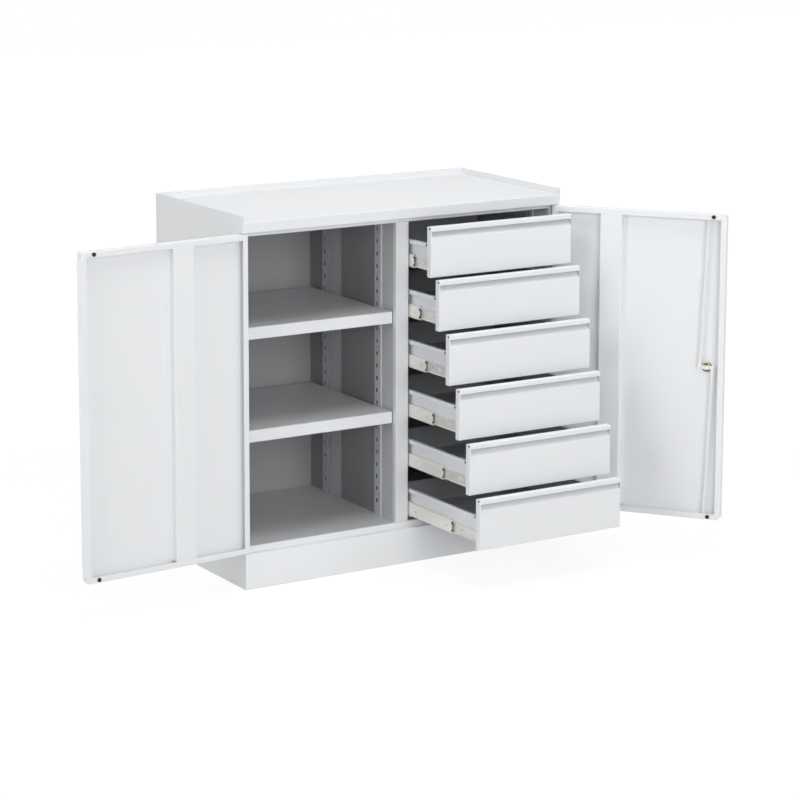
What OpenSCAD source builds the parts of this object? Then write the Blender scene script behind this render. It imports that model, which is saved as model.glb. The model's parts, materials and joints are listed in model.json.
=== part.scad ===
// Steel tool cabinet with two hinged doors: a bay with two adjustable shelves
// behind the left door and a bay with six drawers on telescopic slides behind
// the right one. Sheet pieces are folded profiles. Millimetres, +Z up, front
// towards -Y, origin at the centre of the base on the floor.

/* [Cabinet] */
// Overall width
body_w = 1000; // [980:5:1200]
// Overall depth over the side panels
body_d = 500; // [490:5:700]
// Overall height to the rim of the tray
body_h = 1000; // [980:5:1200]
// Thickness of the carcass sheet
sheet_t = 1.2; // [0.8:0.1:1.6]
// Inside radius of the bends in the sheet
bend_r = 1; // [0.6:0.1:1]
// Height of the plinth
plinth_h = 96; // [80:1:140]
// Depth of the tray recess below the rim
rim_h = 16.5; // [8:0.5:40]
// Thickness of the folded hem along the rim
hem_t = 2.4; // [2:0.1:4]
// Height of the lip along the front of the tray
lip_h = 28.5; // [24:0.5:50]
// How far the frame lies behind the front of the plinth and lip
frame_set = 23.5; // [22.5:0.1:26]
// Width of the stile beside each side panel
stile_w = 20; // [19:1:30]
// Height of the rail that shows above the bays below the lip
rail_show = 12.5; // [6:0.5:30]
// Height of the bottom board above the plinth
board_step = 15.5; // [8:0.5:30]
// Return flange behind stiles and rails
frame_ret = 15; // [10:1:25]
// Width of the flanges that stand on the floor
foot_w = 20; // [14:1:40]
// Width of the channel under the middle of the bottom board
channel_w = 40; // [30:1:80]

/* [Partition and uprights] */
// Width of the front post between the bays
post_w = 40; // [34:1:50]
// Depth of the front post
post_d = 17; // [12:1:30]
// Width of the wall behind the post
core_w = 24; // [18:1:28]
// Width of the slotted strip of an upright
strip_w = 34; // [30:1:50]
// Width of the smooth flange in front of each strip
strip_flange = 58; // [30:1:60]
// How far the smooth flange lies below the strip
strip_step = 4.4; // [2:0.1:6]
// Front edge of the front strips, measured from the cabinet's front
strip_front = 103; // [92:1:130]
// Distance between the front and back strips
strip_gap = 282; // [220:1:290]
// Height of one slot
slot_h = 11; // [8:0.5:14]
// Width of one slot
slot_w = 8; // [4:0.5:10]
// Slot pitches to one drawer pitch
slots_per_drawer = 4; // [2:1:5]
// Radius of the small fixing holes beside the slots
fix_r = 2; // [1.5:0.1:3]

/* [Shelves] */
// Depth of the shelf front
shelf_h = 33; // [25:1:45]
// Shelf front behind the cabinet's front
shelf_set = 40; // [32:1:60]
// Shelf depth from front to back
shelf_d = 440; // [380:5:450]
// Return under the shelf edges
shelf_ret = 15; // [10:1:30]
// Gap between a shelf and the uprights
shelf_gap = 1; // [0.5:0.1:2]
// Slot pitches from the top slot down to the upper shelf's clips
upper_shelf_slots = 8; // [3:1:12]
// Slot pitches from the upper shelf down to the lower one
shelf_step_slots = 8; // [2:1:10]
// Thickness of a shelf clip
clip_t = 1.5; // [1:0.1:2]

/* [Doors] */
// Thickness of a door
door_t = 20; // [19:0.5:21]
// Thickness of the door sheet
door_sheet = 1; // [0.8:0.1:1.2]
// Gap above and below a door
door_gap_z = 2; // [1.5:0.1:4]
// Gap between a door's hinge edge and the side of the cabinet
door_gap_x = 2; // [1.5:0.1:4]
// Gap between the closed doors
door_mid_gap = 6; // [4:0.5:10]
// Width of the return around the back of a door
door_ret = 16; // [12:1:24]
// Pivot behind the door's hinge edge
pivot_in = 6; // [5.5:0.1:7]
// Pivot in front of the door's inner plane
pivot_back = 9.5; // [9:0.1:11]
// Radius of the hinge pins
pin_r = 3; // [2:0.1:3.5]
// Running clearance of pins, spindle and eyes
run_clear = 0.05; // [0.02:0.01:0.1]
// Radius of the hinge bushes
bush_r = 4.5; // [4:0.1:4.9]
// Cut across the lower free corner of a door
door_cut = 8; // [4:0.5:12]
// Screw hole in a door's ends, in from the hinge edge
end_hole_in = 36; // [24:1:60]
// Length of a hinge pin inside the door
pin_l = 10; // [6:1:16]
// Angle of the left door away from closed
left_open = 175.5; // [0:0.5:180]
// Angle of the right door away from closed
right_open = 127.5; // [91:0.5:180]
// Width of the stiffener on each door
stiff_w = 62; // [40:1:90]
// Left door stiffener behind the hinge edge
left_stiff = 165; // [100:1:260]
// Right door stiffener behind the hinge edge
right_stiff = 139; // [100:1:260]
// Width of the flanges that hold a stiffener to the door sheet
stiff_foot = 10; // [6:1:16]
// How far the overlap strip reaches past the left door's edge
overlap = 13; // [8:0.5:15]
// Thickness of the overlap strip
overlap_t = 1.5; // [1:0.1:2]
// Overlap strip short of the door's ends
overlap_end = 19; // [17:1:40]
// Radius of a rubber buffer
buffer_r = 5.5; // [4:0.1:7]
// Buffer centre in from the door's free edge
buffer_in = 36; // [28:1:60]
// Buffer centre in from the door's top and bottom edges
buffer_end = 8; // [7.5:0.1:9]
// Gap between a buffer and the frame with the door shut
buffer_gap = 0.3; // [0.2:0.1:1]

/* [Lock] */
// Lock axis in from the right door's free edge
lock_in = 51; // [40:1:80]
// Distance of the rod pins from the lock axis
cam_r = 18; // [12:0.5:20]
// Length of the flat end of a rod
stem_l = 28; // [24:1:34]
// Height of the cam's curved lug above its axis
lug_h = 15; // [13:0.5:17]
// Thickness of the cam plate
cam_t = 2; // [1.5:0.1:3]
// Radius of the rods
rod_r = 3; // [2:0.1:3.2]
// Radius of the pins that carry the rods
rod_pin_r = 2.5; // [2:0.1:3]
// Rod plane behind the outside of the door
rod_deep = 12; // [11.5:0.1:13]
// Radius of the spindle
spindle_r = 4; // [3:0.1:5]
// Radius of the lock barrel
barrel_r = 10; // [8:0.5:13]
// Width of the slot that guides a rod
guide_w = 11.5; // [11:0.1:14]
// Length of the handle's lever from the axis
lever_l = 82; // [50:1:110]

/* [Drawers] */
// Number of drawers
drawer_n = 6; // [6:1:6]
// Gap between a drawer front and the posts beside it
front_gap = 1; // [0.8:0.1:2]
// Gap between one drawer front and the next
front_gap_z = 1.5; // [1:0.1:3]
// Depth of a drawer front
front_d = 19; // [17:0.5:21]
// Thickness of the drawer sheet
drawer_sheet = 1; // [0.8:0.1:1.2]
// Height of the lip above the finger gap
grip_lip = 12.5; // [10:0.5:16]
// Height of the slope below the finger gap
grip_slope = 19; // [14:0.5:24]
// Top of the floor of a drawer above its front's lower edge
floor_up = 16; // [12:1:17]
// Top of a drawer's side above its front's lower edge
side_up = 90; // [80:1:100]
// Back of the drawer box behind the cabinet's front
box_back = 474; // [440:1:480]
// Height of a drawer's back wall
back_wall_h = 64; // [40:1:80]
// Width of the rolled edge along the top of a side
roll_w = 9; // [7:0.5:10]
// Height of the rolled edge
roll_h = 12.5; // [8:0.5:16]
// Height of the openings in the rolled edge and in the front's ends
end_hole_h = 5; // [3:0.5:6]
// Length of those openings
end_hole_w = 8; // [5:0.5:10]
// Full travel of a drawer
travel = 430; // [360:5:430]

/* [Slides] */
// Thickness of a slide across its three members
slide_t = 12.7; // [12.7:0.1:13.5]
// Length of a slide
slide_l = 430; // [400:5:450]
// Slide behind the drawer face
slide_set = 22; // [20:1:30]
// Centre of the slide above the front's lower edge
slide_up = 31.5; // [29:0.5:40]
// Height of the outer member
outer_h = 45.6; // [44:0.1:48]
// Height of the middle member
middle_h = 36; // [34:0.1:38]
// Height of the inner member
inner_h = 29; // [27:0.1:30]
// Sheet of the slide members
slide_sheet = 1.2; // [1:0.1:1.4]
// Length of the front ball cage
cage_l = 100; // [60:5:140]
// Width of the window in an inner member
window_w = 14; // [8:0.5:18]
// Height of the window
window_h = 10; // [6:0.5:12]
// Middle of the window behind the member's front end
window_in = 40; // [24:1:60]
// Radius of the round notches in a middle member's front end
notch_r = 4.5; // [3:0.1:5]
// Radius of the fixing holes in the members
member_hole_r = 2.3; // [1.5:0.1:3]
// Gap between members where they run
slide_gap = 0.3; // [0.2:0.05:0.5]

/* [Pulled out] */
// First drawer from the top
open_1 = 110; // [0:1:360]
// Second drawer
open_2 = 153; // [0:1:360]
// Third drawer
open_3 = 204; // [0:1:360]
// Fourth drawer
open_4 = 254; // [0:1:360]
// Fifth drawer
open_5 = 305; // [0:1:360]
// Sixth drawer
open_6 = 354; // [0:1:360]
// Share of a drawer's travel that its middle member has made, first drawer
share_1 = 0.38; // [0.35:0.01:0.67]
// Second drawer
share_2 = 0.47; // [0.35:0.01:0.67]
// Third drawer
share_3 = 0.51; // [0.35:0.01:0.67]
// Fourth drawer
share_4 = 0.55; // [0.35:0.01:0.67]
// Fifth drawer
share_5 = 0.63; // [0.35:0.01:0.67]
// Sixth drawer
share_6 = 0.67; // [0.35:0.01:0.67]

/* [Rim holes] */
// Radius of the holes in the rim
rim_hole_r = 3.5; // [2.5:0.1:4.5]
// Holes in a side rim, distance between them
side_hole_gap = 324; // [200:1:400]
// Middle of the pair in a side rim behind the cabinet's centre
side_hole_y = 34; // [0:1:60]
// Outer holes in the back rim, distance between them
back_hole_wide = 832; // [600:1:900]
// Inner holes in the back rim, distance between them
back_hole_near = 212; // [100:1:400]

/* [Hidden] */
$fn = 40;
eps = 0.01;
// Flats in a bend
bend_n = 4;

// Outside planes of the cabinet
x_out = body_w / 2;
y_front = -body_d / 2;
y_back = body_d / 2;
x_in = x_out - sheet_t;
y_in = y_back - sheet_t;
x_hem = x_out - hem_t;
y_hem = y_back - hem_t;
// Frame plane, and the levels from the floor up
y_frame = y_front + frame_set;
y_bend = y_frame + 3 * sheet_t;
z_board = plinth_h + board_step;
z_tray = body_h - rim_h;
z_lip = z_tray - lip_h;
z_rail = z_lip - rail_show;
x_stile = x_out - stile_w;
x_post = post_w / 2;
x_core = core_w / 2;
// Drawer bay and the pitch that the slots share
pitch = (z_rail - z_board) / drawer_n;
slot_pitch = pitch / slots_per_drawer;
bay_mid = (x_stile + x_post) / 2;
z_slot_top = z_rail - slot_pitch * 0.84;
slot_n = floor((z_slot_top - z_board - slot_h) / slot_pitch) + 1;
// Uprights
y_strip = y_front + strip_front;
slot_in = 20;
fix_in = 11.4;
fix_gap = 13;
z_fix_top = z_rail - pitch * 0.62;
// Shelves hang on clips in the slots
hook_h = slot_h - 3;
clip_up = 28;
clip_w = slot_w - 0.6;
clip_reach = 12;
clip_plate_w = 22;
shelf_w = x_stile - x_post - 2 * shelf_gap;
shelf_x = -x_stile + shelf_gap;
shelf_y = y_front + shelf_set;
z_upper = z_slot_top - slot_pitch * upper_shelf_slots + clip_up;
z_lower = z_upper - slot_pitch * shelf_step_slots;
// Doors, as they lie when shut
door_w = x_out - door_gap_x - door_mid_gap / 2;
z_door = plinth_h + door_gap_z;
z_door_top = z_lip - door_gap_z;
door_mid_z = (z_door + z_door_top) / 2;
x_hinge = x_out - door_gap_x;
x_free = door_mid_gap / 2;
y_door = y_front + door_t;
pivot_x = x_hinge - pivot_in;
pivot_y = y_door - pivot_back;
buffer_l = y_frame - buffer_gap - y_door;
x_buffer = x_free + buffer_in;
// Lock and rods
x_lock = x_free + lock_in;
y_rod = y_front + rod_deep;
eye_t = 2;
y_cam = y_rod - eye_t / 2 - slide_gap;
rod_rise = z_door_top - 0.4 - door_mid_z;
rod_tilt = atan(cam_r / rod_rise);
rod_l = sqrt(cam_r * cam_r + rod_rise * rod_rise);
rosette_t = 2;
eye_r = 6;
// Drawers
open_by = [for (o = [open_1, open_2, open_3, open_4, open_5, open_6]) min(o, travel)];
share_of = [share_1, share_2, share_3, share_4, share_5, share_6];
front_h = pitch - front_gap_z;
x_front = x_post + front_gap;
front_w = x_stile - x_post - 2 * front_gap;
y_face = y_frame + 0.5;
x_slide = x_post + slide_t;
grip_in = front_d - drawer_sheet;
y_slide = y_face + slide_set;
box_l = y_front + box_back - y_face - drawer_sheet;
middle_in = 3.4;
race_step = 1;
race_h = 5;
outer_d = 9.5;
inner_d = 6.7;
cage_end = 8;
slit_in = 7;
slit_w = 3;
roll_out = roll_w + 0.7;
seam = 0.1;

function unit(v) = v / norm(v);
function left_of(v) = [-v[1], v[0]];
function turned(v, a) = [v[0] * cos(a) - v[1] * sin(a), v[0] * sin(a) + v[1] * cos(a)];

// Points of the bend at corner i of an open outline, on the outline (off = 0)
// or a thickness t to its left (off = 1)
function bend(p, i, t, off) =
    let (u = unit(p[max(i, 1)] - p[max(i, 1) - 1]),
         v = unit(p[min(i + 1, len(p) - 1)] - p[min(i, len(p) - 2)]),
         a = atan2(u[0] * v[1] - u[1] * v[0], u * v))
    a == 0 ? [p[i] + off * t * left_of(u)]
    : let (s = sign(a), r = bend_r + (s * t > 0 ? abs(t) : 0),
           c = p[i] - u * r * tan(abs(a) / 2) + s * r * left_of(u))
      [for (k = [0:bend_n]) c - s * (r - s * off * t) * left_of(turned(u, a * k / bend_n))];

// Folded sheet: an open outline given a thickness t to its left
module folded(p, t) {
    near = [for (i = [0:len(p) - 1]) each bend(p, i, t, 0)];
    far = [for (i = [0:len(p) - 1]) each bend(p, i, t, 1)];
    polygon(concat(near, [for (k = [len(far) - 1:-1:0]) far[k]]));
}

// All that lies inside such an outline
module filled(p, t) {
    polygon([for (i = [0:len(p) - 1]) each bend(p, i, t, 0)]);
}

module round_rect(a, b, r) {
    polygon([for (c = [[b[0] - r, b[1] - r, 0], [a[0] + r, b[1] - r, 90],
            [a[0] + r, a[1] + r, 180], [b[0] - r, a[1] + r, 270]], k = [0:bend_n])
        let (w = c[2] + 90 * k / bend_n) [c[0] + r * cos(w), c[1] + r * sin(w)]]);
}

module along_x(x0, x1) {
    translate([x0, 0, 0])
        rotate([90, 0, 90])
            linear_extrude(x1 - x0)
                children();
}

module along_y(y0, y1) {
    translate([0, y1, 0])
        rotate([90, 0, 0])
            linear_extrude(y1 - y0)
                children();
}

module along_z(z0, z1) {
    translate([0, 0, z0])
        linear_extrude(z1 - z0)
            children();
}

// Block between two opposite corners
module block(a, b) {
    translate(a)
        cube(b - a);
}

// Block with every edge rounded, and its lower left corner cut off by c
module rounded(a, b, r, c) {
    difference() {
        intersection() {
            along_x(a[0], b[0])
                round_rect([a[1], a[2]], [b[1], b[2]], r);
            along_y(a[1], b[1])
                round_rect([a[0], a[2]], [b[0], b[2]], r);
            along_z(a[2], b[2])
                round_rect([a[0], a[1]], [b[0], b[1]], r);
        }
        if (c > 0)
            along_y(a[1] - 1, b[1] + 1)
                polygon([[a[0] - 1, a[2] - 1], [a[0] + c + 1, a[2] - 1], [a[0] - 1, a[2] + c + 1]]);
    }
}

// Pan of sheet t, closed all round, with rounded edges
module pan(a, b, t, c = 0) {
    inset = [t, t, t];
    difference() {
        rounded(a, b, bend_r + t, c);
        rounded(a + inset, b - inset, bend_r, max(c - (2 - sqrt(2)) * t, 0));
    }
}

// The shape and its mirror image on the other side of x
module both_sides(x = 0) {
    children();
    translate([2 * x, 0, 0])
        mirror([1, 0, 0])
            children();
}

// The shape at the top of a door and its image at the bottom
module both_ends() {
    children();
    translate([0, 0, 2 * door_mid_z])
        mirror([0, 0, 1])
            children();
}

// Moves from the shut door to the open one
module left_swing() {
    translate([-pivot_x, pivot_y, 0])
        rotate([0, 0, -left_open])
            translate([pivot_x, -pivot_y, 0])
                children();
}

module right_swing() {
    translate([pivot_x, pivot_y, 0])
        rotate([0, 0, right_open])
            translate([-pivot_x, -pivot_y, 0])
                children();
}

// Moves a drawer piece from shut to pulled out, and up to its own row
module drawer_place(i) {
    translate([0, -open_by[i - 1], z_rail - pitch * i])
        children();
}

// ---- Carcass ----

// Side panel as seen at the left: the sheet steps back behind the door, its
// stile faces the front and its rim is hemmed
module side_panel() {
    difference() {
        union() {
            along_x(-x_out, -x_in)
                polygon([[y_front, 0], [y_back, 0], [y_back, body_h], [y_front, body_h],
                    [y_front, z_lip], [y_bend, z_lip], [y_bend, plinth_h],
                    [y_front, plinth_h]]);
            along_z(plinth_h, z_lip)
                folded([[-x_out, y_bend], [-x_out, y_frame], [-x_stile, y_frame],
                    [-x_stile, y_frame + frame_ret]], sheet_t);
            block([-x_out, y_front, z_lip], [-x_hem, y_back, body_h]);
            block([-x_out, y_front + foot_w + sheet_t, 0], [-x_out + foot_w, y_in, sheet_t]);
        }
        for (s = [-1, 1])
            translate([-x_out - eps, side_hole_y + s * side_hole_gap / 2, z_tray + rim_h / 2 - 0.5])
                rotate([0, 90, 0])
                    cylinder(r = rim_hole_r, h = hem_t + 2 * eps);
    }
}

module left_side_panel() {
    color("gainsboro")
        side_panel();
}

module right_side_panel() {
    color("gainsboro")
        mirror([1, 0, 0])
            side_panel();
}

module back_panel() {
    color("gainsboro")
        difference() {
            union() {
                block([-x_in, y_in, 0], [x_in, y_back, z_lip]);
                block([-x_hem, y_hem, z_lip], [x_hem, y_back, body_h]);
            }
            for (x = [-back_hole_wide, -back_hole_near, back_hole_near, back_hole_wide] / 2)
                translate([x, y_back + eps, z_tray + rim_h / 2 - 0.5])
                    rotate([90, 0, 0])
                        cylinder(r = rim_hole_r, h = hem_t + 2 * eps);
        }
}

// Slot through the lip and the plinth ledge that takes a locked rod
module keeper_slot() {
    block([x_lock - guide_w / 2, y_rod - rod_r - 1.5, z_lip - eps],
        [x_lock + guide_w / 2, y_rod + rod_r + 1.5, z_lip + sheet_t + eps]);
}

module top_tray() {
    color("whitesmoke")
        difference() {
            along_x(-x_hem, x_hem)
                folded([[y_hem, z_tray], [y_front, z_tray], [y_front, z_lip],
                    [y_frame, z_lip]], sheet_t);
            keeper_slot();
        }
}

module top_rail() {
    color("gainsboro")
        along_x(-x_stile, x_stile)
            folded([[y_frame, z_tray - sheet_t], [y_frame, z_rail],
                [y_frame + frame_ret + 5, z_rail], [y_frame + frame_ret + 5, z_rail + 10]],
                sheet_t);
}

module bottom_board() {
    x = x_stile - sheet_t;
    color("gainsboro") {
        along_x(-x, x)
            folded([[y_in, z_board - 12], [y_in, z_board], [y_frame, z_board],
                [y_frame, plinth_h - 10]], sheet_t);
    }
}

module plinth() {
    color("gainsboro")
        difference() {
            along_x(-x_in, x_in)
                folded([[y_frame, plinth_h - 10], [y_frame, plinth_h], [y_front, plinth_h],
                    [y_front, 0], [y_front + foot_w, 0]], sheet_t);
            translate([0, 0, 2 * door_mid_z])
                mirror([0, 0, 1])
                    keeper_slot();
        }
}

// Channel on the floor that carries the bottom board below the partition
module base_channel() {
    color("gainsboro")
        along_y(y_frame + sheet_t, y_in - sheet_t)
            folded([[-channel_w / 2, z_board - sheet_t], [-channel_w / 2, 0],
                [channel_w / 2, 0], [channel_w / 2, z_board - sheet_t]], sheet_t);
}

// Post and wall between the bays, folded from one sheet
module partition() {
    color("lightgray") {
        along_z(z_board, z_rail)
            folded([[-x_core, y_in], [-x_core, y_frame + post_d], [-x_post, y_frame + post_d],
                [-x_post, y_frame], [x_post, y_frame], [x_post, y_frame + post_d],
                [x_core, y_frame + post_d], [x_core, y_in]], sheet_t);
        along_z(z_rail, z_tray - sheet_t)
            both_sides()
                translate([x_core - sheet_t, y_frame + frame_ret + 5 + sheet_t])
                    square([sheet_t, y_hem - y_frame - frame_ret - 5 - sheet_t]);
    }
}

// Upright on a wall at x = wall whose slotted strip stands at x = face
module upright(wall, face, y) {
    s = sign(face - wall);
    low = face - s * strip_step;
    difference() {
        along_z(z_board, z_rail)
            folded([[wall, y - strip_flange], [low, y - strip_flange], [low, y], [face, y],
                [face, y + strip_w], [wall, y + strip_w]], s * sheet_t);
        for (k = [0:slot_n - 1])
            translate([face, y + slot_in, z_slot_top - k * slot_pitch])
                cube([3 * sheet_t, slot_w, slot_h], center = true);
        for (k = [0:drawer_n - 1], e = [-1, 1])
            translate([face - 1.5 * sheet_t, y + fix_in, z_fix_top - k * pitch + e * fix_gap / 2])
                rotate([0, 90, 0])
                    cylinder(r = fix_r, h = 3 * sheet_t, $fn = 16);
    }
}

module uprights_pair(wall, face) {
    for (y = [y_strip, y_strip + strip_gap])
        upright(wall, face, y);
}

module left_bay_uprights() {
    color("darkgray") {
        uprights_pair(-x_in, -x_stile);
        uprights_pair(-x_core, -x_post);
    }
}

module drawer_bay_uprights() {
    color("dimgray") {
        uprights_pair(x_in, x_stile);
        uprights_pair(x_core, x_post);
    }
}

// ---- Shelves ----

// Folded pan, open below between its returns
module shelf(z) {
    difference() {
        pan([shelf_x, shelf_y, z], [shelf_x + shelf_w, shelf_y + shelf_d, z + shelf_h], sheet_t);
        block([shelf_x + shelf_ret, shelf_y + shelf_ret, z - eps],
            [shelf_x + shelf_w - shelf_ret, shelf_y + shelf_d - shelf_ret, z + sheet_t + eps]);
    }
}

module upper_shelf() {
    color("gainsboro")
        shelf(z_upper);
}

module lower_shelf() {
    color("gainsboro")
        shelf(z_lower);
}

// Clip below a shelf: a hook in the slot, a plate on the strip and a ledge
module shelf_clip(y, z) {
    x = -x_stile;
    yc = y + slot_in;
    block([x, yc - clip_plate_w / 2, z - clip_up], [x + clip_t, yc + clip_plate_w / 2, z]);
    block([x, yc - clip_plate_w / 2, z - clip_t],
        [x + clip_t + clip_reach, yc + clip_plate_w / 2, z]);
    block([x - sheet_t - clip_t, yc - clip_w / 2, z - clip_up - hook_h / 2],
        [x + eps, yc + clip_w / 2, z - clip_up + hook_h / 2]);
    block([x - sheet_t - clip_t, yc - clip_w / 2, z - clip_up - slot_h / 2 - 2],
        [x - sheet_t - 0.2, yc + clip_w / 2, z - clip_up]);
}

module shelf_clips() {
    color("silver")
        for (z = [z_upper, z_lower], y = [y_strip, y_strip + strip_gap])
            both_sides(-(x_stile + x_post) / 2)
                shelf_clip(y, z);
}

// ---- Slides, drawn at the left side of a drawer bay ----

module slide_member(x0, x1, h, z) {
    folded([[x1, z + h / 2], [x0, z + h / 2], [x0, z - h / 2], [x1, z - h / 2]],
        slide_sheet);
}

// Round holes through the web of a member at distances from its front end
module member_holes(x, places) {
    for (d = places)
        translate([x - 2 * slide_sheet, y_slide + d, slide_up])
            rotate([0, 90, 0])
                cylinder(r = member_hole_r, h = 4 * slide_sheet);
}

module outer_member() {
    difference() {
        along_y(y_slide, y_slide + slide_l)
            slide_member(x_post, x_post + outer_d, outer_h, slide_up);
        member_holes(x_post, [0.08, 0.5, 0.9] * slide_l);
    }
}

// Middle member, its web set back behind the runs of the balls, with its ball
// cages: one in the outer member's run, one in the inner member's
module middle_member() {
    half = middle_h / 2;
    cage_out = (outer_h - middle_h) / 2 - slide_sheet - slide_gap;
    cage_in = (middle_h - inner_h) / 2 - slide_sheet - slide_gap;
    x0 = x_post + middle_in;
    x_end = x_slide - slide_sheet - slide_gap - x0;
    difference() {
        along_y(y_slide, y_slide + slide_l)
            translate([x0, slide_up])
                folded([[x_end, half], [race_step, half], [race_step, half - race_h],
                    [0, half - race_h - bend_r], [0, race_h + bend_r - half],
                    [race_step, race_h - half], [race_step, -half], [x_end, -half]], slide_sheet);
        for (e = [-1, 1])
            translate([x0 - 1, y_slide, slide_up + e * (half - notch_r - 2)])
                rotate([0, 90, 0])
                    cylinder(r = notch_r, h = race_step + slide_sheet + 1.5);
        member_holes(x0, [0.06, 0.42, 0.62] * slide_l);
    }
    for (e = [-1, 1]) {
        along_y(y_slide + slide_l / 2, y_slide + slide_l - cage_end)
            translate([x0 + 1, slide_up + e * (middle_h + cage_out) / 2 - cage_out / 2])
                square([4.4, cage_out]);
        along_y(y_slide + cage_end, y_slide + cage_end + cage_l)
            translate([x0 + 3.4, slide_up + e * (half - slide_sheet - cage_in / 2)
                - cage_in / 2])
                square([4, cage_in]);
    }
}

// Inner member with its windows, the release slit near its front and fixing holes
module inner_member() {
    x_cut = x_slide - 2 * slide_sheet;
    difference() {
        along_y(y_slide, y_slide + slide_l)
            mirror([1, 0, 0])
                slide_member(-x_slide, -x_slide + inner_d, inner_h, slide_up);
        for (d = [window_in, slide_l / 2, slide_l - window_in])
            block([x_cut, y_slide + d - window_w / 2, slide_up - window_h / 2],
                [x_slide + 1, y_slide + d + window_w / 2, slide_up + window_h / 2]);
        block([x_cut, y_slide + slit_in, slide_up - window_h * 0.6],
            [x_slide + 1, y_slide + slit_in + slit_w, slide_up + window_h * 0.6]);
        member_holes(x_slide, [0.05, 0.18, 0.7] * slide_l);
    }
}

module outer_rails() {
    color("silver")
        for (i = [1:drawer_n])
            translate([0, 0, z_rail - pitch * i])
                both_sides(bay_mid)
                    outer_member();
}

module middle_rails(i) {
    color("silver")
        translate([0, -open_by[i - 1] * share_of[i - 1], z_rail - pitch * i])
            both_sides(bay_mid)
                middle_member();
}

module drawer_rails(i) {
    color("silver")
        drawer_place(i)
            both_sides(bay_mid)
                inner_member();
}

// ---- Drawers ----

// Front folded from one sheet: face, slope, channel for the fingers and lip.
// Two ends turn back round its edges and close the channel
module drawer_front(i) {
    top = front_h - drawer_sheet;
    low = front_h - grip_lip - grip_slope;
    x_far = x_front + front_w;
    y_far = y_face + front_d;
    plan = [[x_front, y_far], [x_front, y_face], [x_far, y_face], [x_far, y_far]];
    edge = bend_r + drawer_sheet;
    color("whitesmoke")
        drawer_place(i)
            intersection() {
                union() {
                    along_x(x_front + edge + seam, x_far - edge - seam)
                        translate([y_face, 0])
                            folded([[front_d, 0], [0, 0], [0, low], [grip_in, low + grip_slope],
                                [grip_in, top], [drawer_sheet, top],
                                [drawer_sheet, front_h - grip_lip]], -drawer_sheet);
                    difference() {
                        along_z(0, front_h)
                            folded(plan, drawer_sheet);
                        block([x_front + edge, y_face - 1, -1], [x_far - edge, y_far + 1, front_h + 1]);
                        block([x_front - 1, y_face + edge + 0.5, front_h - 2.5 - end_hole_h],
                            [x_far + 1, y_face + edge + 0.5 + end_hole_w, front_h - 2.5]);
                    }
                }
                along_z(-1, front_h + 1)
                    filled(plan, drawer_sheet);
                along_x(x_front - 1, x_far + 1)
                    translate([y_face, 0])
                        filled([[front_d, 0], [0, 0], [0, front_h], [front_d, front_h]],
                            -drawer_sheet);
            }
}

module drawer_box(i) {
    x = x_slide + drawer_sheet;
    x_far = 2 * bay_mid - x;
    y0 = y_face + drawer_sheet;
    color("gray")
        drawer_place(i) {
            along_y(y0, y0 + box_l)
                folded([[x, side_up - 1], [x, floor_up - drawer_sheet],
                    [x_far, floor_up - drawer_sheet], [x_far, side_up - 1]], -drawer_sheet);
            both_sides(bay_mid)
                difference() {
                    along_y(y_slide, y0 + box_l)
                        folded([[x - roll_w / 2, side_up - roll_h], [x - roll_out, side_up - roll_h],
                            [x - roll_out, side_up], [x, side_up],
                            [x, side_up - 3 * drawer_sheet]], -drawer_sheet);
                    block([x - roll_out - 1, y_slide + 2, side_up - 3 - end_hole_h],
                        [x - roll_out + 2 * drawer_sheet, y_slide + 2 + end_hole_w, side_up - 3]);
                }
            block([x, y0 + box_l - drawer_sheet, floor_up - drawer_sheet],
                [x_far, y0 + box_l, floor_up + back_wall_h]);
        }
}

// ---- Hinges ----

// Pins riveted into the lip and the ledge, each with a washer
module hinge_pins() {
    color("silver")
        both_sides()
            both_ends()
                translate([pivot_x, pivot_y, 0]) {
                    translate([0, 0, z_door_top - pin_l])
                        cylinder(r = pin_r, h = pin_l + door_gap_z);
                    translate([0, 0, z_door_top + 0.3])
                        cylinder(r = pin_r + 2, h = door_gap_z - 0.3);
                }
}

module bushes() {
    both_ends()
        translate([pivot_x, pivot_y, 0])
            difference() {
                union() {
                    translate([0, 0, z_door_top - 7])
                        cylinder(r = bush_r, h = 7);
                    translate([0, 0, z_door_top - 7])
                        cylinder(r = bush_r + 0.3, h = 7 - door_sheet);
                }
                translate([0, 0, z_door_top - 8])
                    cylinder(r = pin_r + run_clear, h = 9);
            }
}

// ---- Doors, drawn shut at the right and mirrored for the left ----

module door_pan() {
    difference() {
        pan([x_free, y_front, z_door], [x_hinge, y_door, z_door_top], door_sheet, door_cut);
        block([x_free + door_ret, y_door - 2 * door_sheet, z_door + door_ret],
            [x_hinge - door_ret, y_door + eps, z_door_top - door_ret]);
        both_ends()
            translate([pivot_x, pivot_y, z_door_top - 2 * door_sheet])
                cylinder(r = bush_r, h = 3 * door_sheet);
        block([x_lock - 4, y_rod - rod_r - 0.5, z_door_top - 2 * door_sheet],
            [x_lock - 4 + guide_w, y_rod + rod_r + 0.5, z_door_top + eps]);
        block([x_lock + 4 - guide_w, y_rod - rod_r - 0.5, z_door - eps],
            [x_lock + 4, y_rod + rod_r + 0.5, z_door + 2 * door_sheet]);
        translate([x_hinge - end_hole_in, pivot_y, z_door_top - 2 * door_sheet])
            cylinder(r = 2, h = 3 * door_sheet);
    }
}

// Hat section between the returns at the top and bottom of the door
module stiffener(from_hinge) {
    x1 = x_hinge - from_hinge;
    x0 = x1 - stiff_w;
    y0 = y_front + 2 * door_sheet;
    along_z(z_door + door_ret, z_door_top - door_ret)
        folded([[x0 - stiff_foot, y0], [x0, y0], [x0, y_door], [x1, y_door], [x1, y0],
            [x1 + stiff_foot, y0]], -door_sheet);
}

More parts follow.
